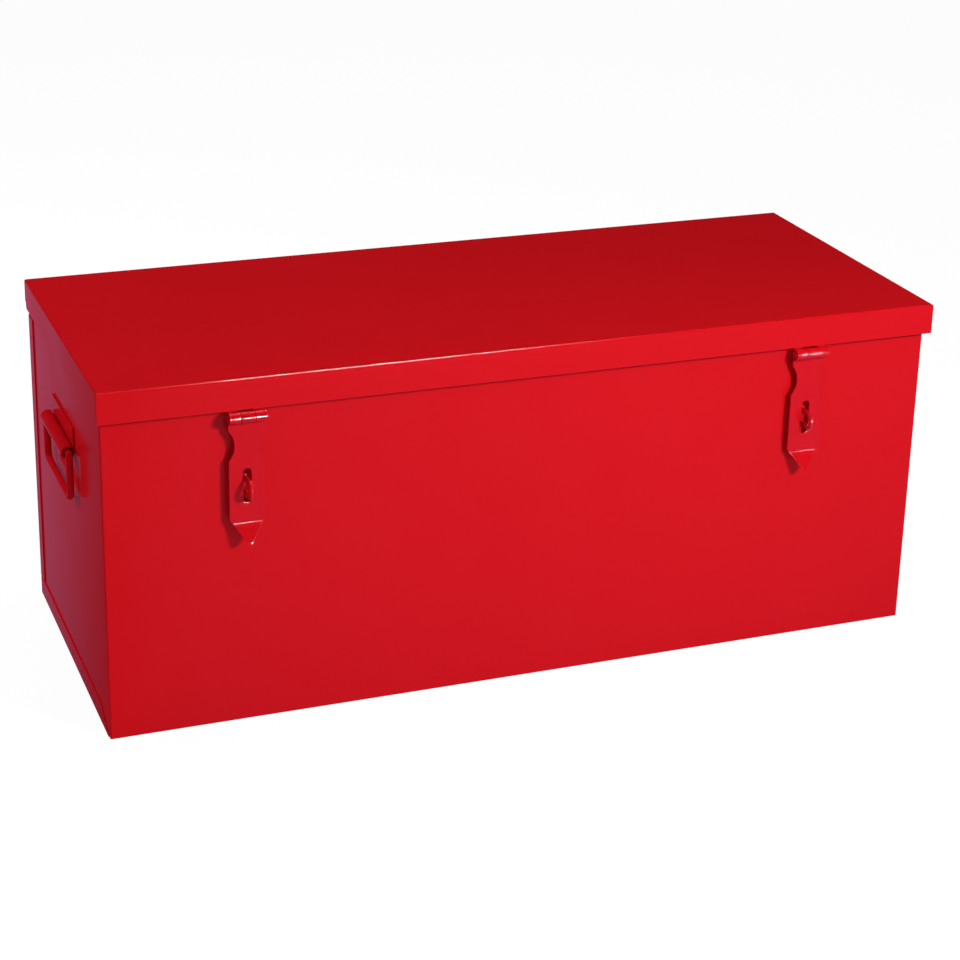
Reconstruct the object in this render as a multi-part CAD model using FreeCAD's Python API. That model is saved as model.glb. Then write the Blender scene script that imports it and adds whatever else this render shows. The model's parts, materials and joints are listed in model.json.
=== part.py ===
import FreeCAD, Part
import math
import os

# Steel jobsite box with a hinged lid, two hasps and two drop handles.
# Millimetres. X runs along the length, Y to the back, Z up; the origin is the centre of the base.

# Body
body_length = 830.0
body_depth = 330.0
overall_height = 345.0
sheet = 1.2
bend_radius = 1.0
sheet_gap = 0.3
rim_hem_height = 10.0
seam_flange = 20.0
seam_flange_chamfer = 31.0
floor_front_flange = 18.0
back_flange_below_skirt = 7.0

# Lid
lid_skirt = 30.0
lid_front_overhang = 10.0
lid_end_overhang = 3.4
lid_to_back_wall = 3.0
corner_seam = 1.4
skirt_corner_width = 4.0
skirt_corner_height = 7.0

# Hasps: a leaf inside the lid's front skirt, a swinging strap and a pin
hasp_from_end = 131.5
hasp_sheet = 2.5
hasp_pin_diameter = 6.0
hasp_axis_below_skirt = 6.5
hasp_leaf_width = 35.0
hasp_leaf_rise = 28.0
strap_knuckle_width = 14.0
strap_width = 34.0
strap_waist = 23.0
strap_shoulder = 13.5
strap_waist_centre = 28.0
strap_waist_height = 29.0
strap_slot_width = 8.0
strap_slot_top = 50.5
strap_slot_length = 34.0
strap_crease = 103.0
strap_taper_start = 99.5
strap_length = 121.0
strap_tip_radius = 4.5
strap_tip_angle = 27.0
strap_tip_bend_radius = 2.5

# Staples on the front wall, one behind each strap
eye_below_axis = 69.0
eye_rod_diameter = 5.0
eye_spacing = 14.0
eye_reach = 24.5
staple_plate_width = 34.0
staple_plate_height = 22.5
staple_plate_thickness = 2.0

# Drop handles, one on each end
handle_axis_below_top = 103.0
handle_sheet = 2.0
handle_plate_width = 100.0
handle_plate_rise = 23.0
handle_plate_corner = 2.0
bail_diameter = 7.0
bail_drop = 45.0
bail_tongue = 22.0
bail_shoulder_radius = 4.5
bail_corner_radius = 9.0

# Rear hinges
hinge_from_end = 150.0
hinge_width = 60.0
hinge_knuckles = 3
hinge_sheet = 2.0
hinge_pin_diameter = 5.0
hinge_body_leaf = 32.0
hinge_lid_leaf = 24.0

# Sliding lid stay inside the right end
stay_radius = 120.0
stay_pivot_angle = 5.0
stay_stud_angle = -20.0
lid_open_angle = 100.0
stay_arm_width = 16.0
stay_arm_thickness = 2.5
stay_pin_diameter = 6.0
stay_end_margin = 8.0
stay_bracket_sheet = 2.0
stay_bracket_foot = 22.0
stay_bracket_width = 26.0
stay_head_diameter = 12.0
stay_stud_head = 2.0
stay_rivet_head = 1.0

# Fits
pin_clearance = 0.06
pin_overhang = 1.0
knuckle_gap = 0.4
knuckle_notch = 1.0
bail_clearance = 1.2
bail_end_gap = 0.5
stay_side_gap = 0.5
stay_hem_gap = 1.5
stay_slot_clearance = 0.4
roll_end_gap = 0.4
bend_joints = 3

# Places worked out from the sizes above
half_length = body_length / 2
front_face = -body_depth / 2
back_face = body_depth / 2
outer_bend = bend_radius + sheet
lid_bottom = overall_height - lid_skirt
lid_under = overall_height - sheet
lid_front = front_face - lid_front_overhang
lid_half_length = half_length + lid_end_overhang
back_wall_top = lid_bottom - lid_to_back_wall
hinge_knuckle_radius = hinge_pin_diameter / 2 + hinge_sheet
hinge_axis_y = back_face + hinge_knuckle_radius
hinge_axis_z = lid_bottom - lid_to_back_wall / 2
hasp_knuckle_radius = hasp_pin_diameter / 2 + hasp_sheet
hasp_axis_y = lid_front + sheet + hasp_sheet - hasp_knuckle_radius
hasp_axis_z = lid_bottom - hasp_axis_below_skirt
bail_bore_radius = bail_diameter / 2 + bail_clearance
handle_knuckle_radius = bail_bore_radius + handle_sheet
handle_axis_x = half_length + handle_knuckle_radius
handle_axis_z = overall_height - handle_axis_below_top
eye_z = hasp_axis_z - eye_below_axis

Vec = FreeCAD.Vector


def box(x0, x1, y0, y1, z0, z1):
    return Part.makeBox(x1 - x0, y1 - y0, z1 - z0, Vec(x0, y0, z0))


def face_of(edges):
    return Part.Face(Part.Wire(edges))


def line(a, b):
    return Part.LineSegment(a, b).toShape()


def arc(a, mid, b):
    return Part.Arc(a, mid, b).toShape()


def corner_arc(before, corner, after, radius):
    """Tangent points and middle point of a round corner."""
    u = (corner - before).normalize()
    v = (after - corner).normalize()
    turn = u.getAngle(v)
    reach = radius * math.tan(turn / 2)
    start = corner - u * reach
    end = corner + v * reach
    bisector = (v - u).normalize()
    middle = corner + bisector * (radius / math.cos(turn / 2) - radius)
    return start, middle, end


def rounded_path(points, radius):
    """Edges along a polyline whose inner corners have one radius."""
    edges = []
    last = points[0]
    for before, corner, after in zip(points, points[1:], points[2:]):
        start, middle, end = corner_arc(before, corner, after, radius)
        edges.append(line(last, start))
        edges.append(arc(start, middle, end))
        last = end
    edges.append(line(last, points[-1]))
    return edges


def folded_section(outer_points, inner_points, thickness):
    """Section of a sheet folded with the bend radius, between its outer and inner faces."""
    edges = rounded_path(outer_points, bend_radius + thickness)
    edges.append(line(outer_points[-1], inner_points[-1]))
    edges += rounded_path(inner_points[::-1], bend_radius)
    edges.append(line(inner_points[0], outer_points[0]))
    return face_of(Part.__sortEdges__(edges))


def hem(length, height):
    """Closed hem along +X: the sheet folded flat on its own inner side, which faces +Y."""
    top = Vec(0, sheet, 0)
    edges = [
        arc(Vec(0, 0, -sheet), top, Vec(0, 2 * sheet, -sheet)),
        line(Vec(0, 2 * sheet, -sheet), Vec(0, 2 * sheet, -height)),
        line(Vec(0, 2 * sheet, -height), Vec(0, 0, -height)),
        line(Vec(0, 0, -height), Vec(0, 0, -sheet)),
    ]
    return face_of(edges).extrude(Vec(length, 0, 0))


def front_and_ends():
    """One sheet folded round the front and both ends, with a hemmed rim."""
    end_rear = back_face - sheet - bend_radius - sheet_gap
    outer = [
        Vec(-half_length, end_rear, 0),
        Vec(-half_length, front_face, 0),
        Vec(half_length, front_face, 0),
        Vec(half_length, end_rear, 0),
    ]
    inner = [
        Vec(-half_length + sheet, end_rear, 0),
        Vec(-half_length + sheet, front_face + sheet, 0),
        Vec(half_length - sheet, front_face + sheet, 0),
        Vec(half_length - sheet, end_rear, 0),
    ]
    shell = folded_section(outer, inner, sheet).extrude(Vec(0, 0, lid_under - sheet))
    corner = outer_bend + sheet
    front_hem = hem(body_length - 2 * corner, rim_hem_height)
    front_hem.translate(Vec(-half_length + corner, front_face, lid_under))
    side_hem = hem(end_rear - front_face - corner, rim_hem_height)
    side_hem.rotate(Vec(0, 0, 0), Vec(0, 0, 1), -90)
    left_hem = side_hem.copy()
    left_hem.translate(Vec(-half_length, end_rear, lid_under))
    right_hem = left_hem.mirror(Vec(0, 0, 0), Vec(1, 0, 0))
    shell = shell.fuse([front_hem, left_hem, right_hem]).removeSplitter()
    floor_relief = box(
        -half_length - sheet,
        half_length + sheet,
        front_face + outer_bend,
        back_face,
        -sheet,
        sheet + bend_radius + sheet_gap,
    )
    return shell.cut(floor_relief)


def end_flange(outline):
    """A flat flange lapped on the outside of the left end, from its outline in Y and Z."""
    points = [Vec(-half_length - sheet, y, z) for y, z in outline]
    edges = [line(a, b) for a, b in zip(points, points[1:] + points[:1])]
    return face_of(edges).extrude(Vec(sheet, 0, 0))


def quarter_bend(length):
    """Bend along +Z between a sheet facing -X and a sheet facing -Y, centred on the Z axis."""
    ring = Part.makeCylinder(outer_bend, length).cut(Part.makeCylinder(bend_radius, length))
    return ring.common(box(-outer_bend, 0, -outer_bend, 0, 0, length))


def back_and_floor():
    """One sheet folded for the back and the floor, with flanges lapped outside the ends."""
    flat_end = half_length - bend_radius
    inside_front = front_face + sheet
    front_flange_end = half_length - sheet - bend_radius - sheet_gap
    outer = [
        Vec(0, inside_front, floor_front_flange),
        Vec(0, inside_front, 0),
        Vec(0, back_face, 0),
        Vec(0, back_face, back_wall_top),
    ]
    inner = [
        Vec(0, inside_front + sheet, floor_front_flange),
        Vec(0, inside_front + sheet, sheet),
        Vec(0, back_face - sheet, sheet),
        Vec(0, back_face - sheet, back_wall_top),
    ]
    sheet_body = folded_section(outer, inner, sheet).extrude(Vec(2 * flat_end, 0, 0))
    sheet_body.translate(Vec(-flat_end, 0, 0))
    flange_front = inside_front + outer_bend + sheet
    front_trim = box(front_flange_end, half_length, front_face, flange_front, 0, overall_height)
    sheet_body = sheet_body.cut([front_trim, front_trim.mirror(Vec(0, 0, 0), Vec(1, 0, 0))])

    flange_back = back_face - outer_bend
    flange_bottom = seam_flange + sheet
    flange_top = lid_bottom - back_flange_below_skirt
    floor_flange = end_flange([
        (flange_front, outer_bend),
        (flange_front + seam_flange_chamfer, seam_flange),
        (flange_back, seam_flange),
        (flange_back, outer_bend),
    ])
    back_flange = end_flange([
        (flange_back, flange_bottom),
        (back_face - seam_flange, flange_bottom),
        (back_face - seam_flange, flange_top),
        (flange_back, flange_top),
    ])
    floor_bend = quarter_bend(flange_back - flange_front)
    floor_bend.rotate(Vec(0, 0, 0), Vec(1, 0, 0), 90)
    floor_bend.translate(Vec(-flat_end, flange_back, outer_bend))
    back_bend = quarter_bend(flange_top - flange_bottom)
    back_bend.rotate(Vec(0, 0, 0), Vec(0, 0, 1), -90)
    back_bend.translate(Vec(-flat_end, flange_back, flange_bottom))
    left = [floor_flange, back_flange, floor_bend, back_bend]
    right = [piece.mirror(Vec(0, 0, 0), Vec(1, 0, 0)) for piece in left]
    back_hem = hem(2 * (flat_end - outer_bend), rim_hem_height)
    back_hem.rotate(Vec(0, 0, 0), Vec(0, 0, 1), 180)
    back_hem.translate(Vec(flat_end - outer_bend, back_face, back_wall_top))
    return sheet_body.fuse(left + right + [back_hem]).removeSplitter()


def lid():
    """Folded tray: the top with a skirt on each side and open seams at the corners."""
    tray = box(-lid_half_length, lid_half_length, lid_front, back_face, lid_bottom, overall_height)
    inside = box(
        -lid_half_length + sheet,
        lid_half_length - sheet,
        lid_front + sheet,
        back_face - sheet,
        lid_bottom - sheet,
        lid_under,
    )
    tray = tray.makeFillet(outer_bend, [e for e in tray.Edges if e.BoundBox.ZMin > overall_height - sheet])
    inside = inside.makeFillet(bend_radius, [e for e in inside.Edges if e.BoundBox.ZMin > lid_under - sheet])
    tray = tray.cut(inside)
    seam_top = overall_height - outer_bend
    cuts = []
    for side in (-1, 1):
        outside = side * (lid_half_length + sheet)
        within = side * (lid_half_length - 2 * sheet)
        x0, x1 = sorted((outside, within))
        for y0 in (lid_front + sheet, back_face - sheet - corner_seam):
            cuts.append(box(x0, x1, y0, y0 + corner_seam, lid_bottom - sheet, seam_top))
        triangle = Part.makePolygon([
            Vec(x0, back_face - corner_seam, lid_bottom + skirt_corner_height),
            Vec(x0, back_face - corner_seam - skirt_corner_width, lid_bottom - sheet),
            Vec(x0, back_face + sheet, lid_bottom - sheet),
            Vec(x0, back_face + sheet, lid_bottom + skirt_corner_height),
            Vec(x0, back_face - corner_seam, lid_bottom + skirt_corner_height),
        ])
        cuts.append(Part.Face(triangle).extrude(Vec(x1 - x0, 0, 0)))
    return tray.cut(cuts)


def rolled_profile(outer_radius, thickness, reach):
    """Leaf section in Y and Z: a strip up the +Y side of the axis, rolled back to itself from below."""
    inner_radius = outer_radius - thickness
    roll = 2 * math.pi - math.acos((inner_radius - roll_end_gap) / outer_radius)

    def on_circle(radius, angle):
        return Vec(0, radius * math.cos(angle), -radius * math.sin(angle))

    edges = [
        line(Vec(0, outer_radius, reach), Vec(0, outer_radius, 0)),
        arc(on_circle(outer_radius, 0), on_circle(outer_radius, roll / 2), on_circle(outer_radius, roll)),
        line(on_circle(outer_radius, roll), on_circle(inner_radius, roll)),
        arc(on_circle(inner_radius, roll), on_circle(inner_radius, roll / 2), on_circle(inner_radius, 0)),
        line(Vec(0, inner_radius, 0), Vec(0, inner_radius, reach)),
        line(Vec(0, inner_radius, reach), Vec(0, outer_radius, reach)),
    ]
    return face_of(edges)


def across(profile, width):
    """Extrude a section in Y and Z evenly to both sides of X = 0."""
    solid = profile.extrude(Vec(width, 0, 0))
    solid.translate(Vec(-width / 2, 0, 0))
    return solid


def pin_along_x(diameter, length):
    """Plain pin along X, centred on the origin."""
    return Part.makeCylinder(diameter / 2, length, Vec(-length / 2, 0, 0), Vec(1, 0, 0))


def hasp_leaf():
    """Lid leaf of a hasp about its own axis, with a knuckle at each side."""
    leaf = across(rolled_profile(hasp_knuckle_radius, hasp_sheet, hasp_leaf_rise), hasp_leaf_width)
    notch = box(
        -strap_knuckle_width / 2,
        strap_knuckle_width / 2,
        -2 * hasp_knuckle_radius,
        2 * hasp_knuckle_radius,
        -2 * hasp_knuckle_radius,
        hasp_knuckle_radius + knuckle_notch,
    )
    return leaf.cut(notch)


def strap_outline():
    """Front view of the strap in X and Z, from its rolled knuckle to its rounded tip."""
    knuckle = strap_knuckle_width / 2 - knuckle_gap
    half = strap_width / 2
    waist = strap_waist / 2
    waist_top = -strap_waist_centre + strap_waist_height / 2
    waist_bottom = -strap_waist_centre - strap_waist_height / 2
    shoulder = -hasp_knuckle_radius - knuckle_notch
    tip_centre = -strap_length + strap_tip_radius
    taper = Vec(strap_tip_radius, 0, tip_centre) - Vec(half, 0, -strap_taper_start)
    slope = math.atan2(-taper.z, -taper.x)
    touch = Vec(strap_tip_radius * math.sin(slope), 0, tip_centre - strap_tip_radius * math.cos(slope))
    side = [
        line(Vec(knuckle, 0, hasp_knuckle_radius), Vec(knuckle, 0, shoulder)),
        line(Vec(knuckle, 0, shoulder), Vec(half, 0, shoulder)),
        line(Vec(half, 0, shoulder), Vec(half, 0, waist_top)),
        arc(Vec(half, 0, waist_top), Vec(waist, 0, -strap_waist_centre), Vec(half, 0, waist_bottom)),
        line(Vec(half, 0, waist_bottom), Vec(half, 0, -strap_taper_start)),
        line(Vec(half, 0, -strap_taper_start), touch),
    ]
    mirrored = [edge.mirror(Vec(0, 0, 0), Vec(1, 0, 0)) for edge in side]
    tip = arc(touch, Vec(0, 0, -strap_length), Vec(-touch.x, 0, touch.z))
    top = line(Vec(-knuckle, 0, hasp_knuckle_radius), Vec(knuckle, 0, hasp_knuckle_radius))
    return face_of(Part.__sortEdges__(side + mirrored + [tip, top]))


def slot_solid(width, length, depth):
    """Upright slot cutter centred on X = 0, its top end at Z = 0, through +Y."""
    end = length - width
    body = box(-width / 2, width / 2, 0, depth, -width / 2 - end, -width / 2)
    upper = Part.makeCylinder(width / 2, depth, Vec(0, 0, -width / 2), Vec(0, 1, 0))
    lower = Part.makeCylinder(width / 2, depth, Vec(0, 0, -width / 2 - end), Vec(0, 1, 0))
    return body.fuse([upper, lower]).removeSplitter()


def strap_section():
    """Side view of the strap in Y and Z: rolled over the pin, straight, then turned out at the tip."""
    inner = hasp_pin_diameter / 2
    outer = hasp_knuckle_radius
    angle = math.radians(strap_tip_angle)
    centre_y = inner - strap_tip_bend_radius
    near = strap_tip_bend_radius
    far = strap_tip_bend_radius + hasp_sheet
    run = (strap_length - strap_crease) / math.cos(angle)

    def on_bend(radius, turn):
        return Vec(0, centre_y + radius * math.cos(turn), -strap_crease - radius * math.sin(turn))

    along = Vec(0, -math.sin(angle), -math.cos(angle)) * run
    roll = rolled_profile(outer, hasp_sheet, strap_shoulder).mirror(Vec(0, 0, 0), Vec(0, 0, 1))
    strip = face_of([
        line(Vec(0, outer, -strap_shoulder / 2), Vec(0, outer, -strap_crease)),
        arc(on_bend(far, 0), on_bend(far, angle / 2), on_bend(far, angle)),
        line(on_bend(far, angle), on_bend(far, angle) + along),
        line(on_bend(far, angle) + along, on_bend(near, angle) + along),
        line(on_bend(near, angle) + along, on_bend(near, angle)),
        arc(on_bend(near, angle), on_bend(near, angle / 2), on_bend(near, 0)),
        line(Vec(0, inner, -strap_crease), Vec(0, inner, -strap_shoulder / 2)),
        line(Vec(0, inner, -strap_shoulder / 2), Vec(0, outer, -strap_shoulder / 2)),
    ])
    return roll, strip


def hasp_strap():
    """Swinging strap about its own axis: rolled knuckle, waist, long slot and turned-out tip."""
    roll, strip = strap_section()
    solid = across(roll, strap_width).fuse(across(strip, strap_width)).removeSplitter()
    depth = strap_length
    outline = strap_outline().extrude(Vec(0, depth, 0))
    outline.translate(Vec(0, -depth / 2, 0))
    slot = slot_solid(strap_slot_width, strap_slot_length, depth)
    slot.translate(Vec(0, -depth / 2, -strap_slot_top))
    running_bore = pin_along_x(hasp_pin_diameter + 2 * pin_clearance, strap_width)
    return solid.common(outline).cut([slot, running_bore])


def bent_path(points, radii):
    """Polyline with each inner corner replaced by joints spaced evenly round its bend."""
    path = [points[0]]
    for before, corner, after, radius in zip(points, points[1:], points[2:], radii):
        incoming = corner - before
        outgoing = after - corner
        start = corner_arc(before, corner, after, radius)[0]
        axis = incoming.cross(outgoing)
        centre = start + axis.cross(incoming).normalize() * radius
        turn = math.degrees(incoming.getAngle(outgoing)) / bend_joints
        first = (start - centre) / math.cos(math.radians(turn / 2))
        for step in range(bend_joints):
            path.append(centre + FreeCAD.Rotation(axis, turn * (step + 0.5)).multVec(first))
    path.append(points[-1])
    return path


def bent_rod(points, radii, diameter):
    """Round rod along a polyline with round bends, mitred from chord to chord."""
    path = bent_path(points, radii)
    along = [(b - a).normalize() for a, b in zip(path, path[1:])]
    across_joint = [(u + v).normalize() for u, v in zip(along, along[1:])]
    normals = [along[0]] + across_joint + [along[-1]]
    pieces = []
    for index, direction in enumerate(along):
        start, end = path[index], path[index + 1]
        length = (end - start).Length + 2 * diameter
        rod = Part.makeCylinder(diameter / 2, length, start - direction * diameter, direction)
        behind = Part.makeCylinder(2 * diameter, 2 * diameter, start, normals[index] * -1)
        beyond = Part.makeCylinder(2 * diameter, 2 * diameter, end, normals[index + 1])
        pieces.append(rod.cut([behind, beyond]))
    return pieces[0].fuse(pieces[1:]).removeSplitter()


def staple_eye():
    """Bent rod whose legs start on the base plate and whose loop passes out through the strap's slot."""
    half = eye_spacing / 2
    root = -staple_plate_thickness
    tip = -eye_reach + eye_rod_diameter / 2
    points = [Vec(0, root, half), Vec(0, tip, half), Vec(0, tip, -half), Vec(0, root, -half)]
    return bent_rod(points, [half, half], eye_rod_diameter)


def staple_plate():
    """Base plate on the wall, with round corners."""
    plate = box(
        -staple_plate_width / 2,
        staple_plate_width / 2,
        -staple_plate_thickness,
        0,
        -staple_plate_height / 2,
        staple_plate_height / 2,
    )
    corners = [e for e in plate.Edges if e.BoundBox.YLength > sheet and e.Length < 2 * staple_plate_thickness]
    return plate.makeFillet(staple_plate_thickness, corners)


def handle_plate():
    """Handle's fixed plate, built as for the back of +Y: welded strip with its lower edge rolled outwards."""
    plate = across(rolled_profile(handle_knuckle_radius, handle_sheet, handle_plate_rise), handle_plate_width)
    corners = [
        e for e in plate.Edges if e.BoundBox.ZMin > handle_plate_rise - sheet and e.BoundBox.XLength < sheet
    ]
    return plate.makeFillet(handle_plate_corner, corners)


def handle_bail():
    """Round bail about its own axis: tongues inside the roll, two legs and a grip bar, in X and Z."""
    tongue_end = handle_plate_width / 2 - bail_tongue
    leg = handle_plate_width / 2 + bail_end_gap + bail_shoulder_radius
    points = [
        Vec(-tongue_end, 0, 0),
        Vec(-leg, 0, 0),
        Vec(-leg, 0, -bail_drop),
        Vec(leg, 0, -bail_drop),
        Vec(leg, 0, 0),
        Vec(tongue_end, 0, 0),
    ]
    bends = [bail_shoulder_radius, bail_corner_radius, bail_corner_radius, bail_shoulder_radius]
    return bent_rod(points, bends, bail_diameter)


def hinge_leaf(reach, for_lid):
    """Rear hinge leaf about its own axis, strip up on the -Y side; the lid's has the even knuckles."""
    pitch = hinge_width / hinge_knuckles
    profile = rolled_profile(hinge_knuckle_radius, hinge_sheet, reach).mirror(Vec(0, 0, 0), Vec(0, 1, 0))
    leaf = across(profile, hinge_width)
    notches = []
    for index in range(hinge_knuckles):
        if (index % 2 == 1) == for_lid:
            continue
        x0 = -hinge_width / 2 + index * pitch
        slack = knuckle_gap / 2
        notches.append(
            box(
                x0 - slack,
                x0 + pitch + slack,
                -2 * hinge_knuckle_radius,
                2 * hinge_knuckle_radius,
                -2 * hinge_knuckle_radius,
                hinge_knuckle_radius + knuckle_notch,
            )
        )
    leaf = leaf.cut(notches)
    if for_lid:
        leaf = leaf.cut(pin_along_x(hinge_pin_diameter + 2 * pin_clearance, hinge_width))
    return leaf


def stay_point(angle):
    """Point on the stay's circle round the lid hinge, in Y and Z."""
    turn = math.radians(angle)
    return (
        hinge_axis_y - stay_radius * math.cos(turn),
        hinge_axis_z + stay_radius * math.sin(turn),
    )


def stay_span(lid_angle):
    """Distance from the stay's pivot to its stud with the lid open by an angle."""
    between = stay_pivot_angle - stay_stud_angle + lid_angle
    return 2 * stay_radius * math.sin(math.radians(between) / 2)


def lid_stay():
    """Bracket, arm, stud and rivet of the sliding lid stay, in place inside the right end."""
    wall = half_length - sheet
    arm_outer = wall - sheet - stay_hem_gap
    arm_inner = arm_outer - stay_arm_thickness
    ear_outer = arm_inner - stay_side_gap
    ear_inner = ear_outer - stay_bracket_sheet
    pivot_y, pivot_z = stay_point(stay_pivot_angle)
    stud_y, stud_z = stay_point(stay_stud_angle)
    pin_radius = stay_pin_diameter / 2
    head_radius = stay_head_diameter / 2

    half_arm = stay_arm_width / 2
    reach = stay_span(lid_open_angle) + pin_radius + stay_slot_clearance
    arm_length = reach + stay_end_margin
    slot_width = stay_pin_diameter + 2 * stay_slot_clearance
    slot_start = stay_span(0) - pin_radius - stay_slot_clearance
    arm = slot_solid(stay_arm_width, arm_length + half_arm, stay_arm_thickness)
    arm.translate(Vec(0, 0, half_arm))
    slot = slot_solid(slot_width, reach - slot_start, stay_arm_thickness)
    slot.translate(Vec(0, 0, -slot_start))
    hole = Part.makeCylinder(pin_radius + pin_clearance, stay_arm_thickness, Vec(0, 0, 0), Vec(0, 1, 0))
    arm = arm.cut([slot, hole])
    arm.rotate(Vec(0, 0, 0), Vec(0, 0, 1), -90)
    arm.rotate(Vec(0, 0, 0), Vec(1, 0, 0), math.degrees(math.atan2(stud_y - pivot_y, pivot_z - stud_z)))
    arm.translate(Vec(arm_inner, pivot_y, pivot_z))

    foot_inner = ear_outer - stay_bracket_foot
    section = folded_section(
        [Vec(ear_outer, 0, pivot_z - half_arm), Vec(ear_outer, 0, lid_under), Vec(foot_inner, 0, lid_under)],
        [
            Vec(ear_inner, 0, pivot_z - half_arm),
            Vec(ear_inner, 0, lid_under - stay_bracket_sheet),
            Vec(foot_inner, 0, lid_under - stay_bracket_sheet),
        ],
        stay_bracket_sheet,
    )
    bracket = section.extrude(Vec(0, stay_bracket_width, 0))
    bracket.translate(Vec(0, pivot_y - stay_bracket_width / 2, 0))
    pivot_hole = pin_along_x(stay_pin_diameter, stay_head_diameter)
    pivot_hole.translate(Vec(ear_outer, pivot_y, pivot_z))
    bracket = bracket.cut(pivot_hole)

    def turned(x0, steps, y, z):
        """Round piece along X from steps of length and radius."""
        pieces = []
        x = x0
        for length, radius in steps:
            pieces.append(Part.makeCylinder(radius, length, Vec(x, y, z), Vec(1, 0, 0)))
            x += length
        return pieces[0].fuse(pieces[1:]).removeSplitter()

    rivet_shank = arm_outer - ear_inner + knuckle_gap
    rivet_head = stay_rivet_head - knuckle_gap
    rivet = turned(
        ear_inner - stay_stud_head,
        [(stay_stud_head, head_radius), (rivet_shank, pin_radius), (rivet_head, head_radius)],
        pivot_y,
        pivot_z,
    )
    stud_shank = stay_arm_thickness + 2 * knuckle_gap
    stud_head_x = arm_inner - knuckle_gap - stay_stud_head
    collar = wall - stud_head_x - stay_stud_head - stud_shank
    stud = turned(
        stud_head_x,
        [(stay_stud_head, head_radius), (stud_shank, pin_radius), (collar, head_radius)],
        stud_y,
        stud_z,
    )
    return {"lid_stay_bracket": bracket, "lid_stay_arm": arm, "lid_stay_stud": stud, "lid_stay_rivet": rivet}


def placed(shape, x, y, z, turn=0):
    """Copy of a shape turned about Z and moved into place."""
    copy = shape.copy()
    copy.rotate(Vec(0, 0, 0), Vec(0, 0, 1), turn)
    copy.translate(Vec(x, y, z))
    return copy


def all_pieces():
    pieces = {"front_and_ends": front_and_ends(), "back_and_floor": back_and_floor(), "lid": lid()}
    leaf = hasp_leaf()
    strap = hasp_strap()
    hasp_pin = pin_along_x(hasp_pin_diameter, hasp_leaf_width + 2 * pin_overhang)
    eye = staple_eye()
    plate = staple_plate()
    lid_leaf = hinge_leaf(hinge_lid_leaf, True)
    body_leaf = hinge_leaf(hinge_body_leaf, False).mirror(Vec(0, 0, 0), Vec(0, 0, 1))
    hinge_pin = pin_along_x(hinge_pin_diameter, hinge_width + 2 * pin_overhang)
    grip = handle_bail()
    grip_plate = handle_plate()
    for name, side in (("left", -1), ("right", 1)):
        hasp_x = side * (half_length - hasp_from_end)
        pieces["hasp_leaf_" + name] = placed(leaf, hasp_x, hasp_axis_y, hasp_axis_z)
        pieces["hasp_pin_" + name] = placed(hasp_pin, hasp_x, hasp_axis_y, hasp_axis_z)
        pieces["hasp_strap_" + name] = placed(strap, hasp_x, hasp_axis_y, hasp_axis_z)
        pieces["staple_plate_" + name] = placed(plate, hasp_x, front_face, eye_z)
        pieces["staple_eye_" + name] = placed(eye, hasp_x, front_face, eye_z)
        hinge_x = side * (half_length - hinge_from_end)
        pieces["rear_hinge_lid_leaf_" + name] = placed(lid_leaf, hinge_x, hinge_axis_y, hinge_axis_z)
        pieces["rear_hinge_body_leaf_" + name] = placed(body_leaf, hinge_x, hinge_axis_y, hinge_axis_z)
        pieces["rear_hinge_pin_" + name] = placed(hinge_pin, hinge_x, hinge_axis_y, hinge_axis_z)
        handle_x = side * handle_axis_x
        pieces["handle_plate_" + name] = placed(grip_plate, handle_x, 0, handle_axis_z, side * 90)
        pieces["handle_bail_" + name] = placed(grip, handle_x, 0, handle_axis_z, side * 90)
    pieces.update(lid_stay())
    return pieces


def main():
    os.makedirs("parts", exist_ok=True)
    for name, shape in all_pieces().items():
        solid = shape.Solids[0]
        solid.exportStep("parts/" + name + ".step")
        print(name, len(shape.Solids), solid.isValid(), round(solid.Volume, 1))


main()
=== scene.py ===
import bmesh
import bpy
import json
import math
from mathutils import Matrix, Vector


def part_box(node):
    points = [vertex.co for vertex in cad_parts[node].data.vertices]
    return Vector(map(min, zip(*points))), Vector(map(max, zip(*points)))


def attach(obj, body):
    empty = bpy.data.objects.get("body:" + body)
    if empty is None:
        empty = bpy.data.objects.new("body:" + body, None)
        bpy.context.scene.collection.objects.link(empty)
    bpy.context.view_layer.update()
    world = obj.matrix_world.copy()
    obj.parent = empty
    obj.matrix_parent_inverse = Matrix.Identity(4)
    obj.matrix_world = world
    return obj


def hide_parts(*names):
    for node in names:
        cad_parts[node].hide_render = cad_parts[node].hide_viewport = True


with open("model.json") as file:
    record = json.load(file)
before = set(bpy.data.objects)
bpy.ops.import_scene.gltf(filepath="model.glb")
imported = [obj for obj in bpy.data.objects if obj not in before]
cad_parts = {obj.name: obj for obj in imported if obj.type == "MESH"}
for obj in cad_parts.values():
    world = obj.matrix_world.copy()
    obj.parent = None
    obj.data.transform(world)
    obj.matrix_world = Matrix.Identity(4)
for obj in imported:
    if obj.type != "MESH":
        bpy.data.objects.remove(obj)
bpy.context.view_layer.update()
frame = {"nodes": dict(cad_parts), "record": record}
print("frame loaded:", len(frame["nodes"]), "nodes")

mm = 0.001
sides = {"left": -1, "right": 1}
record = frame["record"]
bodyOf = {node: body for body, nodes in record["behaviour"]["bodies"].items() for node in nodes}
slotOf = {part["node"]: part["material_slot"] for part in record["subparts"]}


def linear(hexColour):
    # sRGB hex to the linear values that Blender's sockets take
    channels = [int(hexColour[i:i + 2], 16) / 255 for i in (1, 3, 5)]
    return [c / 12.92 if c <= 0.04045 else ((c + 0.055) / 1.055) ** 2.4 for c in channels] + [1.0]


def perMetre(span):
    # a pattern's scale from its real size in millimetres
    return 1 / (span * mm)


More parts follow.
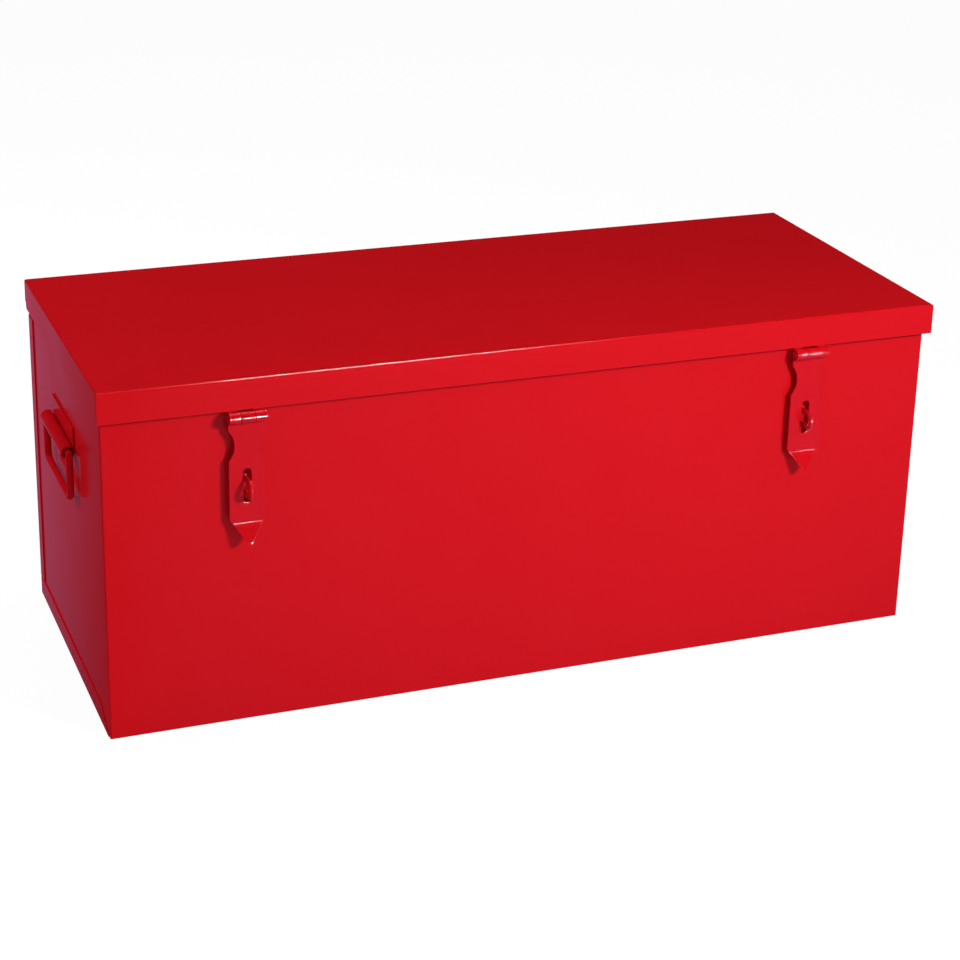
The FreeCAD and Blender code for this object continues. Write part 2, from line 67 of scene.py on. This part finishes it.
def addNode(tree, kind, settings=None, values=None, links=None):
    # settings are the node's own, values fill its sockets, links bring other nodes' outputs
    node = tree.nodes.new(kind)
    for name, value in (settings or {}).items():
        setattr(node, name, value)
    for socket, value in (values or {}).items():
        node.inputs[socket].default_value = value
    for socket, source in (links or {}).items():
        tree.links.new(source, node.inputs[socket])
    return node


# Stoving enamel sprayed over folded steel: an even, deep red with a soft mirror.
# Up close it has the fine pebbling of sprayed paint, and wide panels are never quite flat.
# Spans and depths are in millimetres.
sheetEnamel = {
    "name": "redEnamelOnSheet",
    "colour": "#D7121C",
    "colourThin": "#D20F18",  # where the coat is thinner
    "toneSpan": 210,
    "roughness": (0.1, 0.16),
    "hazeSpan": 60,
    "specular": 0.22,
    "peelSpan": 2.4,  # sprayed paint pebbles at 1 to 3 mm
    "peelDepth": 0.010,
    "waveSpan": 170,  # springy sheet between its folds
    "waveDepth": 0.9,
}

# The same enamel pooled on small fittings: a rounder, wetter look than on the panels.
fittingEnamel = {
    "name": "redEnamelOnFittings",
    "colour": "#D50F1A",
    "colourThin": "#CC0C16",
    "toneSpan": 24,
    "roughness": (0.04, 0.07),
    "hazeSpan": 9,
    "specular": 0.45,
    "peelSpan": 1.6,
    "peelDepth": 0.008,
    "waveSpan": 14,  # runs and sags of the thicker coat
    "waveDepth": 0.05,
}

# What both coats share: the resin, and how far each unevenness breaks up into finer ones.
coat = {
    "ior": 1.5,
    "tone": {"Detail": 3.0, "Roughness": 0.55},
    "haze": {"Detail": 4.0, "Roughness": 0.6},
    "wave": {"Detail": 1.0},
    "peel": {"Detail": 2.0, "Roughness": 0.4},
    "hazeReach": (0.3, 0.7),  # the part of the haze that runs from the one roughness to the other
}


def enamel(look):
    material = bpy.data.materials.new(look["name"])
    material.use_nodes = True
    tree = material.node_tree
    tree.nodes.clear()
    place = addNode(tree, "ShaderNodeTexCoord").outputs["Object"]
    uneven = {}
    for use in ("tone", "haze", "wave", "peel"):
        noise = addNode(tree, "ShaderNodeTexNoise",
                        values={"Scale": perMetre(look[use + "Span"]), **coat[use]},
                        links={"Vector": place})
        uneven[use] = noise.outputs["Fac"]
    colour = addNode(tree, "ShaderNodeMix", {"data_type": "RGBA"},
                     {"A": linear(look["colourThin"]), "B": linear(look["colour"])},
                     {"Factor": uneven["tone"]})
    start, end = coat["hazeReach"]
    low, high = look["roughness"]
    gloss = addNode(tree, "ShaderNodeMapRange",
                    values={"From Min": start, "From Max": end, "To Min": low, "To Max": high},
                    links={"Value": uneven["haze"]})
    sag = addNode(tree, "ShaderNodeBump",
                  values={"Strength": 1.0, "Distance": look["waveDepth"] * mm},
                  links={"Height": uneven["wave"]})
    pebble = addNode(tree, "ShaderNodeBump",
                     values={"Strength": 1.0, "Distance": look["peelDepth"] * mm},
                     links={"Height": uneven["peel"], "Normal": sag.outputs["Normal"]})
    paint = addNode(tree, "ShaderNodeBsdfPrincipled",
                    values={"IOR": coat["ior"], "Specular IOR Level": look["specular"]},
                    links={"Base Color": colour.outputs["Result"], "Roughness": gloss.outputs["Result"],
                           "Normal": pebble.outputs["Normal"]})
    addNode(tree, "ShaderNodeOutputMaterial", links={"Surface": paint.outputs["BSDF"]})
    return material


finishes = {"painted_sheet": enamel(sheetEnamel), "painted_fittings": enamel(fittingEnamel)}
print("enamels mixed")


def camel(node):
    words = node.split("_")
    return words[0] + "".join(word.capitalize() for word in words[1:])


def newObject(name, mesh):
    piece = bpy.data.objects.new(name, mesh)
    bpy.context.scene.collection.objects.link(piece)
    return piece


def bake(piece):
    # the evaluated mesh takes the place of the piece's own and of its modifiers
    evaluated = piece.evaluated_get(bpy.context.evaluated_depsgraph_get())
    mesh = bpy.data.meshes.new_from_object(evaluated)
    piece.modifiers.clear()
    piece.data = mesh


litAs = {slot: bpy.data.collections.new(slot) for slot in finishes}


def join(piece, slot, body):
    # the piece's paint slot, the body that it moves with, and the lamps meant for its paint
    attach(piece, body)
    litAs[slot].objects.link(piece)


def standIn(piece, node):
    # the piece takes a node's place
    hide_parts(node)
    join(piece, slotOf[node], bodyOf[node])


# Cut and folded steel has no razor edges once it is deburred and painted.
# Lengths are in millimetres and angles in degrees.
paintedEdge = {
    "width": {"painted_sheet": 0.35, "painted_fittings": 0.65},
    "steps": 3,
    "sharperThan": 40,  # what counts as an edge
    "flatWithin": 0.5,  # what counts as one flat face
    "merge": 0.005,
    "flatsWeight": 100,  # how firmly the flats keep their own shading
}


def paintedSheetPiece(node):
    shape = bmesh.new()
    shape.from_mesh(frame["nodes"][node].data)
    bmesh.ops.remove_doubles(shape, verts=shape.verts, dist=paintedEdge["merge"] * mm)
    bmesh.ops.dissolve_limit(shape, angle_limit=math.radians(paintedEdge["flatWithin"]),
                             verts=shape.verts, edges=shape.edges)
    mesh = bpy.data.meshes.new(camel(node))
    corners = [vertex.co[:] for vertex in shape.verts]
    outlines = [[vertex.index for vertex in face.verts] for face in shape.faces]
    mesh.from_pydata(corners, [], outlines)
    shape.free()
    mesh.materials.append(finishes[slotOf[node]])
    mesh.shade_smooth()
    piece = newObject(camel(node), mesh)
    edge = piece.modifiers.new("deburred", "BEVEL")
    edge.width = paintedEdge["width"][slotOf[node]] * mm
    edge.segments = paintedEdge["steps"]
    edge.limit_method = "ANGLE"
    edge.angle_limit = math.radians(paintedEdge["sharperThan"])
    edge.use_clamp_overlap = True
    flats = piece.modifiers.new("flats", "WEIGHTED_NORMAL")
    flats.keep_sharp = True
    flats.weight = paintedEdge["flatsWeight"]
    bake(piece)
    standIn(piece, node)


# Eyes and bails are round bar, bent cold.
roundBar = {
    "bendSteps": 10,
    "roundSteps": 28,
}


def treeWithInputs(name, inputs):
    # a Geometry Nodes tree with a geometry in and out and named inputs for its sizes
    tree = bpy.data.node_groups.new(name, "GeometryNodeTree")
    tree.interface.new_socket("Geometry", in_out="INPUT", socket_type="NodeSocketGeometry")
    for label, kind in inputs.items():
        tree.interface.new_socket(label, in_out="INPUT", socket_type="NodeSocket" + kind)
    tree.interface.new_socket("Geometry", in_out="OUTPUT", socket_type="NodeSocketGeometry")
    return tree, addNode(tree, "NodeGroupInput").outputs


def grow(piece, tree, sizes):
    # runs a tree on a piece with these inputs and keeps the result as a plain mesh
    modifier = piece.modifiers.new(tree.name, "NODES")
    modifier.node_group = tree
    identifiers = {item.name: item.identifier for item in tree.interface.items_tree
                   if item.in_out == "INPUT"}
    for label, value in sizes.items():
        modifier[identifiers[label]] = value
    bake(piece)


def finishTree(tree, geometry, material):
    real = addNode(tree, "GeometryNodeRealizeInstances", links={"Geometry": geometry})
    coated = addNode(tree, "GeometryNodeSetMaterial",
                     links={"Geometry": real.outputs["Geometry"], "Material": material})
    addNode(tree, "NodeGroupOutput", links={"Geometry": coated.outputs["Geometry"]})


def bentRodTree():
    # a round bar that follows a line of corners, each with its own bend radius
    tree, given = treeWithInputs("bentRod", {"Diameter": "Float", "Round steps": "Int",
                                             "Bend steps": "Int", "Paint": "Material"})
    line = addNode(tree, "GeometryNodeMeshToCurve", links={"Mesh": given["Geometry"]})
    bend = addNode(tree, "GeometryNodeInputNamedAttribute", {"data_type": "FLOAT"},
                   {"Name": "bendRadius"})
    rounded = addNode(tree, "GeometryNodeFilletCurve", {"mode": "POLY"},
                      links={"Curve": line.outputs["Curve"], "Count": given["Bend steps"],
                             "Radius": bend.outputs["Attribute"]})
    half = addNode(tree, "ShaderNodeMath", {"operation": "DIVIDE"}, {1: 2.0}, {0: given["Diameter"]})
    section = addNode(tree, "GeometryNodeCurvePrimitiveCircle", {"mode": "RADIUS"},
                      links={"Resolution": given["Round steps"], "Radius": half.outputs["Value"]})
    bar = addNode(tree, "GeometryNodeCurveToMesh", values={"Fill Caps": True},
                  links={"Curve": rounded.outputs["Curve"], "Profile Curve": section.outputs["Curve"]})
    smooth = addNode(tree, "GeometryNodeSetShadeSmooth", links={"Geometry": bar.outputs["Mesh"]})
    finishTree(tree, smooth.outputs["Geometry"], given["Paint"])
    return tree


def bentRod(tree, node, corners, radii, diameter):
    mesh = bpy.data.meshes.new(camel(node))
    mesh.from_pydata(corners, [(i, i + 1) for i in range(len(corners) - 1)], [])
    bends = mesh.attributes.new("bendRadius", "FLOAT", "POINT")
    bends.data.foreach_set("value", [radius * mm for radius in radii])
    piece = newObject(camel(node), mesh)
    grow(piece, tree, {"Diameter": diameter * mm, "Round steps": roundBar["roundSteps"],
                       "Bend steps": roundBar["bendSteps"], "Paint": finishes[slotOf[node]]})
    piece.data.set_sharp_from_angle(angle=math.radians(paintedEdge["sharperThan"]))
    standIn(piece, node)


eye = {
    "rod": 5.0,
    "bend": 7.0,
}


def stapleEye(tree, side):
    node = "staple_eye_" + side
    low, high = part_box(node)
    x = (low.x + high.x) / 2
    inset = eye["rod"] / 2 * mm
    tip, root = low.y + inset, high.y
    upper, lower = high.z - inset, low.z + inset
    corners = [(x, root, upper), (x, tip, upper), (x, tip, lower), (x, root, lower)]
    bentRod(tree, node, corners, [0, eye["bend"], eye["bend"], 0], eye["rod"])


bail = {
    "rod": 7.0,
    "shoulder": 4.5,  # bend beside the plate's roll
    "corner": 9.0,
    "tongue": 22.0,  # how far each end reaches into the roll
}


def handleBail(tree, side):
    node = "handle_bail_" + side
    low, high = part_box(node)
    inset = bail["rod"] / 2 * mm
    x = (low.x + high.x) / 2
    front, back = low.y + inset, high.y - inset
    axis, bar = high.z - inset, low.z + inset
    plateFront, plateBack = (corner.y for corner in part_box("handle_plate_" + side))
    tongue = bail["tongue"] * mm
    corners = [(x, plateFront + tongue, axis), (x, front, axis), (x, front, bar),
               (x, back, bar), (x, back, axis), (x, plateBack - tongue, axis)]
    radii = [0, bail["shoulder"], bail["corner"], bail["corner"], bail["shoulder"], 0]
    bentRod(tree, node, corners, radii, bail["rod"])


rodTree = bentRodTree()
rodNodes = []
for side in sides:
    stapleEye(rodTree, side)
    handleBail(rodTree, side)
    rodNodes += ["staple_eye_" + side, "handle_bail_" + side]
print("eyes and bails bent")

for node in frame["nodes"]:
    if node not in rodNodes:
        paintedSheetPiece(node)
print("sheet pieces deburred and painted")


# Electrode marks: a faint ring round each spot weld, still to be felt through the paint.
# Lengths are in millimetres.
spotWeld = {
    "pitch": 42.0,
    "mark": 5.2,
    "ridge": 0.55,
    "rise": 0.45,  # share of a round ridge, which leaves it low
    "wander": 0.7,
    "seed": 7,
    "roundSteps": 20,
    "ridgeSteps": 6,
}


def spotWeldTree():
    # marks at a pitch along each edge of a mesh, turned to face out of the sheet
    tree, given = treeWithInputs("spotWeldRow", {"Pitch": "Float", "Mark": "Float", "Ridge": "Float",
                                                 "Rise": "Float", "Wander": "Float", "Seed": "Int",
                                                 "Paint": "Material"})
    rows = addNode(tree, "GeometryNodeMeshToCurve", links={"Mesh": given["Geometry"]})
    spots = addNode(tree, "GeometryNodeResampleCurve", {"mode": "LENGTH"},
                    links={"Curve": rows.outputs["Curve"], "Length": given["Pitch"]})
    back = addNode(tree, "ShaderNodeMath", {"operation": "MULTIPLY"}, {1: -1.0}, {0: given["Wander"]})
    drift = addNode(tree, "FunctionNodeRandomValue", {"data_type": "FLOAT"},
                    links={"Min": back.outputs["Value"], "Max": given["Wander"],
                           "Seed": given["Seed"]})
    tangent = addNode(tree, "GeometryNodeInputTangent")
    step = addNode(tree, "ShaderNodeVectorMath", {"operation": "SCALE"},
                   links={"Vector": tangent.outputs["Tangent"], "Scale": drift.outputs["Value"]})
    moved = addNode(tree, "GeometryNodeSetPosition",
                    links={"Geometry": spots.outputs["Curve"], "Offset": step.outputs["Vector"]})
    markHalf = addNode(tree, "ShaderNodeMath", {"operation": "DIVIDE"}, {1: 2.0},
                       {0: given["Mark"]})
    ridgeHalf = addNode(tree, "ShaderNodeMath", {"operation": "DIVIDE"}, {1: 2.0},
                        {0: given["Ridge"]})
    ring = addNode(tree, "GeometryNodeCurvePrimitiveCircle", {"mode": "RADIUS"},
                   {"Resolution": spotWeld["roundSteps"]}, {"Radius": markHalf.outputs["Value"]})
    section = addNode(tree, "GeometryNodeCurvePrimitiveCircle", {"mode": "RADIUS"},
                      {"Resolution": spotWeld["ridgeSteps"]}, {"Radius": ridgeHalf.outputs["Value"]})
    ridge = addNode(tree, "GeometryNodeCurveToMesh",
                    links={"Curve": ring.outputs["Curve"], "Profile Curve": section.outputs["Curve"]})
    squash = addNode(tree, "ShaderNodeCombineXYZ", values={"X": 1.0, "Y": 1.0},
                     links={"Z": given["Rise"]})
    low = addNode(tree, "GeometryNodeTransform",
                  links={"Geometry": ridge.outputs["Mesh"], "Scale": squash.outputs["Vector"]})
    smooth = addNode(tree, "GeometryNodeSetShadeSmooth", links={"Geometry": low.outputs["Geometry"]})
    facing = addNode(tree, "GeometryNodeInputNamedAttribute", {"data_type": "FLOAT_VECTOR"},
                     {"Name": "facing"})
    turn = addNode(tree, "FunctionNodeAlignRotationToVector", {"axis": "Z"},
                   links={"Vector": facing.outputs["Attribute"]})
    marks = addNode(tree, "GeometryNodeInstanceOnPoints",
                    links={"Points": moved.outputs["Geometry"], "Instance": smooth.outputs["Geometry"],
                           "Rotation": turn.outputs["Rotation"]})
    finishTree(tree, marks.outputs["Instances"], given["Paint"])
    return tree


def pointsWithFacing(name, corners, edges, facings):
    mesh = bpy.data.meshes.new(name)
    mesh.from_pydata(corners, edges, [])
    facing = mesh.attributes.new("facing", "FLOAT_VECTOR", "POINT")
    facing.data.foreach_set("vector", [value for direction in facings for value in direction])
    return newObject(name, mesh)


def spotWelds(tree, name, body, rows):
    # each row has a start, an end and the way that its marks face
    corners = [point for row in rows for point in row[:2]]
    edges = [(2 * i, 2 * i + 1) for i in range(len(rows))]
    facings = [row[2] for row in rows for _ in range(2)]
    piece = pointsWithFacing(name, corners, edges, facings)
    grow(piece, tree, {"Pitch": spotWeld["pitch"] * mm, "Mark": spotWeld["mark"] * mm,
                       "Ridge": spotWeld["ridge"] * mm, "Rise": spotWeld["rise"],
                       "Wander": spotWeld["wander"] * mm, "Seed": spotWeld["seed"],
                       "Paint": finishes["painted_fittings"]})
    join(piece, "painted_fittings", body)


# Where the welds sit, in millimetres from the edges of what they hold.
weldRows = {
    "flangeInset": 10.5,
    "flangeEnd": 26.0,
    "chamferRun": 34.0,
    "leafInset": 7.0,
    "leafEnd": 9.0,
    "plateInset": 7.0,
    "plateEnd": 10.0,
    "staplePlateInset": 5.0,
    "fittingSheet": 2.0,  # thickness of the hinge leaves and handle plates
}


def flangeRows():
    low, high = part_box("back_and_floor")
    inset, end = weldRows["flangeInset"] * mm, weldRows["flangeEnd"] * mm
    rows = []
    for sign, face in ((-1, low.x), (1, high.x)):
        facing = (sign, 0, 0)
        upright, rear = high.y - inset, high.y - inset - end
        front = low.y + weldRows["chamferRun"] * mm
        rows.append(((face, upright, low.z + end), (face, upright, high.z - end), facing))
        rows.append(((face, front, low.z + inset), (face, rear, low.z + inset), facing))
    return rows


def acrossRows(node, facing, plane, z, end):
    # one row along X at a height on a plate, short of each of its ends
    low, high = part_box(node)
    return [((low.x + end * mm, plane, z), (high.x - end * mm, plane, z), facing)]


def boxWelds():
    rows = flangeRows()
    thickness = weldRows["fittingSheet"] * mm
    backFace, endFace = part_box("back_and_floor")[1].y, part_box("front_and_ends")[1].x
    for side, sign in sides.items():
        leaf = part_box("rear_hinge_body_leaf_" + side)
        rows += acrossRows("rear_hinge_body_leaf_" + side, (0, 1, 0), backFace + thickness,
                           leaf[0].z + weldRows["leafInset"] * mm, weldRows["leafEnd"])
        low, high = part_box("handle_plate_" + side)
        face = sign * (endFace + thickness)
        z = high.z - weldRows["plateInset"] * mm
        end = weldRows["plateEnd"] * mm
        rows.append(((face, low.y + end, z), (face, high.y - end, z), (sign, 0, 0)))
        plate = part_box("staple_plate_" + side)
        rows += acrossRows("staple_plate_" + side, (0, -1, 0), plate[0].y,
                           (plate[0].z + plate[1].z) / 2, weldRows["staplePlateInset"])
    return rows


def lidWelds():
    rows = []
    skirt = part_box("lid")[1].y
    thickness = weldRows["fittingSheet"] * mm
    for side in sides:
        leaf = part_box("rear_hinge_lid_leaf_" + side)
        rows += acrossRows("rear_hinge_lid_leaf_" + side, (0, 1, 0), skirt + thickness,
                           leaf[1].z - weldRows["leafInset"] * mm, weldRows["leafEnd"])
    return rows


weldTree = spotWeldTree()
spotWelds(weldTree, "spotWeldsOnBox", "box", boxWelds())
spotWelds(weldTree, "spotWeldsOnLid", "lid", lidWelds())
print("spot welds marked")


# A hand-laid bead where each leg of an eye meets its base plate, in millimetres.
weldBead = {
    "offset": 0.3,
    "drop": 1.0,
    "drops": 15,
    "uneven": (0.82, 1.12),  # from the smallest drop to the biggest
    "dropSegments": 10,
    "dropRings": 6,
    "seed": 3,
}


def weldBeadTree():
    # a ring of overlapping drops round each point of a mesh
    tree, given = treeWithInputs("weldBead", {"Ring": "Float", "Drop": "Float", "Drops": "Int",
                                              "Seed": "Int", "Paint": "Material"})
    ring = addNode(tree, "GeometryNodeCurvePrimitiveCircle", {"mode": "RADIUS"},
                   links={"Resolution": given["Drops"], "Radius": given["Ring"]})
    drop = addNode(tree, "GeometryNodeMeshUVSphere",
                   values={"Segments": weldBead["dropSegments"], "Rings": weldBead["dropRings"]},
                   links={"Radius": given["Drop"]})
    smallest, biggest = weldBead["uneven"]
    size = addNode(tree, "FunctionNodeRandomValue", {"data_type": "FLOAT"},
                   {"Min": smallest, "Max": biggest}, {"Seed": given["Seed"]})
    drops = addNode(tree, "GeometryNodeInstanceOnPoints",
                    links={"Points": ring.outputs["Curve"], "Instance": drop.outputs["Mesh"],
                           "Scale": size.outputs["Value"]})
    real = addNode(tree, "GeometryNodeRealizeInstances",
                   links={"Geometry": drops.outputs["Instances"]})
    smooth = addNode(tree, "GeometryNodeSetShadeSmooth", links={"Geometry": real.outputs["Geometry"]})
    facing = addNode(tree, "GeometryNodeInputNamedAttribute", {"data_type": "FLOAT_VECTOR"},
                     {"Name": "facing"})
    turn = addNode(tree, "FunctionNodeAlignRotationToVector", {"axis": "Z"},
                   links={"Vector": facing.outputs["Attribute"]})
    beads = addNode(tree, "GeometryNodeInstanceOnPoints",
                    links={"Points": given["Geometry"], "Instance": smooth.outputs["Geometry"],
                           "Rotation": turn.outputs["Rotation"]})
    finishTree(tree, beads.outputs["Instances"], given["Paint"])
    return tree


def eyeWelds(tree):
    roots = []
    for side in sides:
        low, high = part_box("staple_eye_" + side)
        inset = eye["rod"] / 2 * mm
        roots += [((low.x + high.x) / 2, high.y, z) for z in (low.z + inset, high.z - inset)]
    piece = pointsWithFacing("eyeWeldBeads", roots, [], [(0, -1, 0)] * len(roots))
    grow(piece, tree, {"Ring": (eye["rod"] / 2 + weldBead["offset"]) * mm,
                       "Drop": weldBead["drop"] * mm, "Drops": weldBead["drops"],
                       "Seed": weldBead["seed"], "Paint": finishes["painted_fittings"]})
    join(piece, "painted_fittings", "box")


eyeWelds(weldBeadTree())
print("eyes welded")


# Settings of the room round the box; the strengths are those of Blender's own shaders.
studio = {
    "skyOnPaint": 0.005,  # the room that the paint mirrors is dark, as on the photographed lid
    "skyLight": 0.35,
    "skyColour": "#FFFFFF",
    "floorColour": "#C9CACC",
    "floorOnPaint": "#5E5A7A",  # painted reflection: a violet glow on the floor that only the paint's gloss sees, a painted sheen on the box's end
    "floorAcross": (5.5, 1.15, 0.0),  # the way in which that brightens, mostly to the right
    "floorGrows": ((-2.445, 0.2), (-1.92, 1.4)),  # two places along that way, each with its strength
    "floorWhite": 0.8,  # share of plain white in what the camera sees of the floor
    "whiteLevel": 1.16,
    "floorHalf": 8.0,  # in metres
    "floorDrop": 0.3,  # millimetres under the base; the floor is clear from below
}


def studioWorld():
    # white for the camera, dark for what the paint mirrors, and between the two for its light
    world = bpy.data.worlds.new("studio")
    bpy.context.scene.world = world
    world.use_nodes = True
    tree = world.node_tree
    tree.nodes.clear()
    ray = addNode(tree, "ShaderNodeLightPath").outputs
    seen = addNode(tree, "ShaderNodeMath", {"operation": "MAXIMUM"},
                   links={0: ray["Is Camera Ray"], 1: ray["Is Transmission Ray"]})
    mirrored = addNode(tree, "ShaderNodeMath", {"operation": "MULTIPLY"},
                       {1: studio["skyOnPaint"] - studio["skyLight"]}, {0: ray["Is Glossy Ray"]})
    level = addNode(tree, "ShaderNodeMath", {"operation": "ADD"}, {1: studio["skyLight"]},
                    {0: mirrored.outputs["Value"]})
    strength = addNode(tree, "ShaderNodeMath", {"operation": "MAXIMUM"},
                       links={0: level.outputs["Value"], 1: seen.outputs["Value"]})
    sky = addNode(tree, "ShaderNodeBackground", values={"Color": linear(studio["skyColour"])},
                  links={"Strength": strength.outputs["Value"]})
    addNode(tree, "ShaderNodeOutputWorld", links={"Surface": sky.outputs["Background"]})


def studioFloor():
    half, z = studio["floorHalf"], -studio["floorDrop"] * mm
    mesh = bpy.data.meshes.new("floor")
    mesh.from_pydata([(-half, -half, z), (half, -half, z), (half, half, z), (-half, half, z)], [],
                     [(0, 1, 2, 3)])
    material = bpy.data.materials.new("paleStudioFloor")
    material.use_nodes = True
    tree = material.node_tree
    tree.nodes.clear()
    ray = addNode(tree, "ShaderNodeLightPath").outputs
    seen = addNode(tree, "ShaderNodeMath", {"operation": "MAXIMUM"},
                   links={0: ray["Is Camera Ray"], 1: ray["Is Transmission Ray"]})
    share = addNode(tree, "ShaderNodeMath", {"operation": "MULTIPLY"}, {1: studio["floorWhite"]},
                    {0: seen.outputs["Value"]})
    matt = addNode(tree, "ShaderNodeBsdfDiffuse", values={"Color": linear(studio["floorColour"])})
    place = addNode(tree, "ShaderNodeTexCoord").outputs["Object"]
    across = addNode(tree, "ShaderNodeVectorMath", {"operation": "DOT_PRODUCT"},
                     {1: studio["floorAcross"]}, {0: place})
    near, far = studio["floorGrows"]
    glow = addNode(tree, "ShaderNodeMapRange",
                   values={"From Min": near[0], "From Max": far[0],
                           "To Min": near[1], "To Max": far[1]},
                   links={"Value": across.outputs["Value"]})
    # painted reflection: for gloss rays the floor glows violet, stronger to the right, a painted sheen
    # on the paint
    mirrored = addNode(tree, "ShaderNodeEmission", values={"Color": linear(studio["floorOnPaint"])},
                       links={"Strength": glow.outputs["Result"]})
    lit = addNode(tree, "ShaderNodeMixShader",
                  links={0: ray["Is Glossy Ray"], 1: matt.outputs["BSDF"],
                         2: mirrored.outputs["Emission"]})
    white = addNode(tree, "ShaderNodeEmission", values={"Strength": studio["whiteLevel"]})
    both = addNode(tree, "ShaderNodeMixShader",
                   links={0: share.outputs["Value"], 1: lit.outputs["Shader"],
                          2: white.outputs["Emission"]})
    clear = addNode(tree, "ShaderNodeBsdfTransparent")
    side = addNode(tree, "ShaderNodeNewGeometry").outputs["Backfacing"]
    floor = addNode(tree, "ShaderNodeMixShader",
                    links={0: side, 1: both.outputs["Shader"], 2: clear.outputs["BSDF"]})
    addNode(tree, "ShaderNodeOutputMaterial", links={"Surface": floor.outputs["Shader"]})
    mesh.materials.append(material)
    newObject("floor", mesh)


# Of the lamps that light the paint only the weak one overhead is mirrored in it. Highlights
# come from lamps that only gloss shows: a high one along the lid's front fold, for the sheets,
# and low ones for the fittings. So the wide panels stay clear of bright patches from any side.
# Places, aims and sizes are in metres.
softLights = {
    "key": {"at": (0.55, -1.37, 0.95), "aim": (-0.5, -0.4, 0.4), "size": (0.3, 0.17),
            "watts": 18.4, "colour": "#FFFFFF", "lights": True, "mirrored": False},
    "cool": {"at": (-1.5, 1.0, 1.0), "aim": (-0.4, 0.0, 0.2), "size": (0.7, 0.7),
             "watts": 16.5, "colour": "#E4E8FF", "lights": True, "mirrored": False},
    "overhead": {"at": (0.0, 0.2, 2.3), "aim": (0.0, 0.1, 0.3), "size": (1.6, 1.0),
                 "watts": 4.0, "colour": "#FFFFFF", "lights": True, "mirrored": True},
    "fold": {"at": (0.25, -0.75, 1.5), "aim": (0.0, -0.17, 0.34), "size": (0.5, 0.1),
             "watts": 45.0, "colour": "#FFFFFF", "lights": False, "mirrored": True,
             "onlyFor": "painted_sheet"},
    "glint": {"at": (0.02, -1.4, 0.315), "aim": (-0.28, -0.17, 0.3), "size": (0.12, 0.04),
              "watts": 6.5, "colour": "#FFFFFF", "lights": False, "mirrored": True,
              "onlyFor": "painted_fittings"},
    "sparkle": {"at": (0.47, -1.4, 0.315), "aim": (0.0, -0.17, 0.315), "size": (0.66, 0.04),
                "watts": 120.0, "colour": "#FFFFFF", "lights": False, "mirrored": True,
                "onlyFor": "painted_fittings"},
    "dot": {"at": (0.94, -1.4, 0.36), "aim": (0.28, -0.17, 0.3), "size": (0.025, 0.03),
            "watts": 1.0, "colour": "#FFFFFF", "lights": False, "mirrored": True,
            "onlyFor": "painted_fittings"},
}


def softLight(name):
    look = softLights[name]
    lamp = bpy.data.lights.new(name, "AREA")
    lamp.shape = "RECTANGLE"
    lamp.size, lamp.size_y = look["size"]
    lamp.energy = look["watts"]
    lamp.color = linear(look["colour"])[:3]
    light = bpy.data.objects.new(name, lamp)
    bpy.context.scene.collection.objects.link(light)
    light.location = look["at"]
    aim = Vector(look["aim"]) - Vector(look["at"])
    light.rotation_mode = "QUATERNION"
    light.rotation_quaternion = aim.to_track_quat("-Z", "Y")
    light.visible_diffuse = look["lights"]
    light.visible_glossy = look["mirrored"]
    if "onlyFor" in look:
        light.light_linking.receiver_collection = litAs[look["onlyFor"]]


# Where the photograph was taken from, in metres, degrees and millimetres of lens.
view = {
    "at": (-0.7867, -2.0466, 1.0626),
    "azimuth": 21.19,
    "elevation": 20.44,
    "roll": 1.32,
    "lens": 86.95,
    "shiftY": -0.1,
}


def photographCamera():
    lens = bpy.data.cameras.new("photograph")
    lens.lens = view["lens"]
    lens.shift_y = view["shiftY"]
    camera = bpy.data.objects.new("photograph", lens)
    bpy.context.scene.collection.objects.link(camera)
    azimuth, elevation, roll = (math.radians(view[key]) for key in ("azimuth", "elevation", "roll"))
    ahead = Vector((math.sin(azimuth) * math.cos(elevation),
                    math.cos(azimuth) * math.cos(elevation),
                    -math.sin(elevation)))
    level = Vector((math.cos(azimuth), -math.sin(azimuth), 0))
    upright = level.cross(ahead)
    right = math.cos(roll) * level + math.sin(roll) * upright
    up = math.cos(roll) * upright - math.sin(roll) * level
    turn = Matrix((right, up, -ahead)).transposed()
    camera.matrix_world = Matrix.Translation(view["at"]) @ turn.to_4x4()
    bpy.context.scene.camera = camera


studioWorld()
studioFloor()
for name in softLights:
    softLight(name)
photographCamera()
bpy.context.scene.view_settings.view_transform = "Standard"
print("studio set")

bpy.context.view_layer.update()
